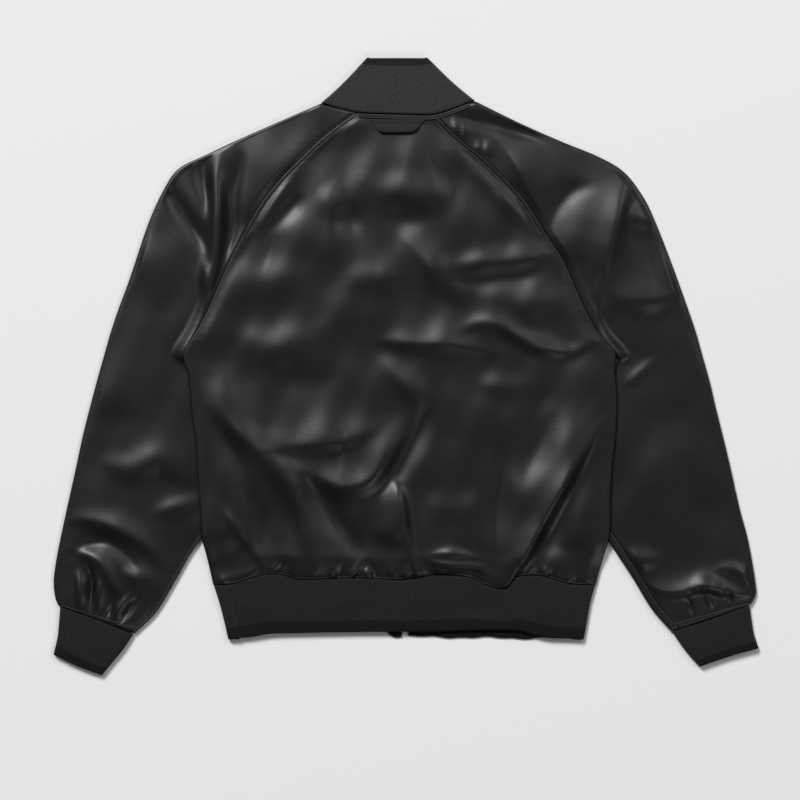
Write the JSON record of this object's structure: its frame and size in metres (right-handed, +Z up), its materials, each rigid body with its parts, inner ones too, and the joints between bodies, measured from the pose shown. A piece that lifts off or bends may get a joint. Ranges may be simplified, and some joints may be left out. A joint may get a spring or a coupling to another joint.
{
  "type": "satin zip-front jacket laid flat",
  "caption": "Black satin jacket with raglan sleeves and rib-knit collar, cuffs and hem, closed by a front zip and laid flat with its back up.",
  "frame": {"origin": "bottom centre of the overall box, on the surface that the jacket lies on", "axes": "+X across the sleeves to the wearer's right, +Y from hem to collar, +Z up out of the back"},
  "size_m": [0.8801, 0.7704, 0.0196],
  "materials": {
    "satin": "smooth black polyester satin with soft broad highlights",
    "rib": "matte charcoal rib knit with a darker band at each free edge",
    "tape": "matte black woven tape",
    "zip_metal": "black plated metal"
  },
  "bodies": {
    "root": {"back_panel": "satin", "front_left": "satin", "front_right": "satin", "sleeve_left": "satin", "sleeve_right": "satin", "collar_rib": "rib", "hem_back": "rib", "hem_front_left": "rib", "hem_front_right": "rib", "cuff_left": "rib", "cuff_right": "rib", "neck_tape": "tape", "hanger_loop": "tape", "zip_left": "tape", "zip_right": "tape", "zip_slider": "zip_metal"}
  },
  "joints": []
}
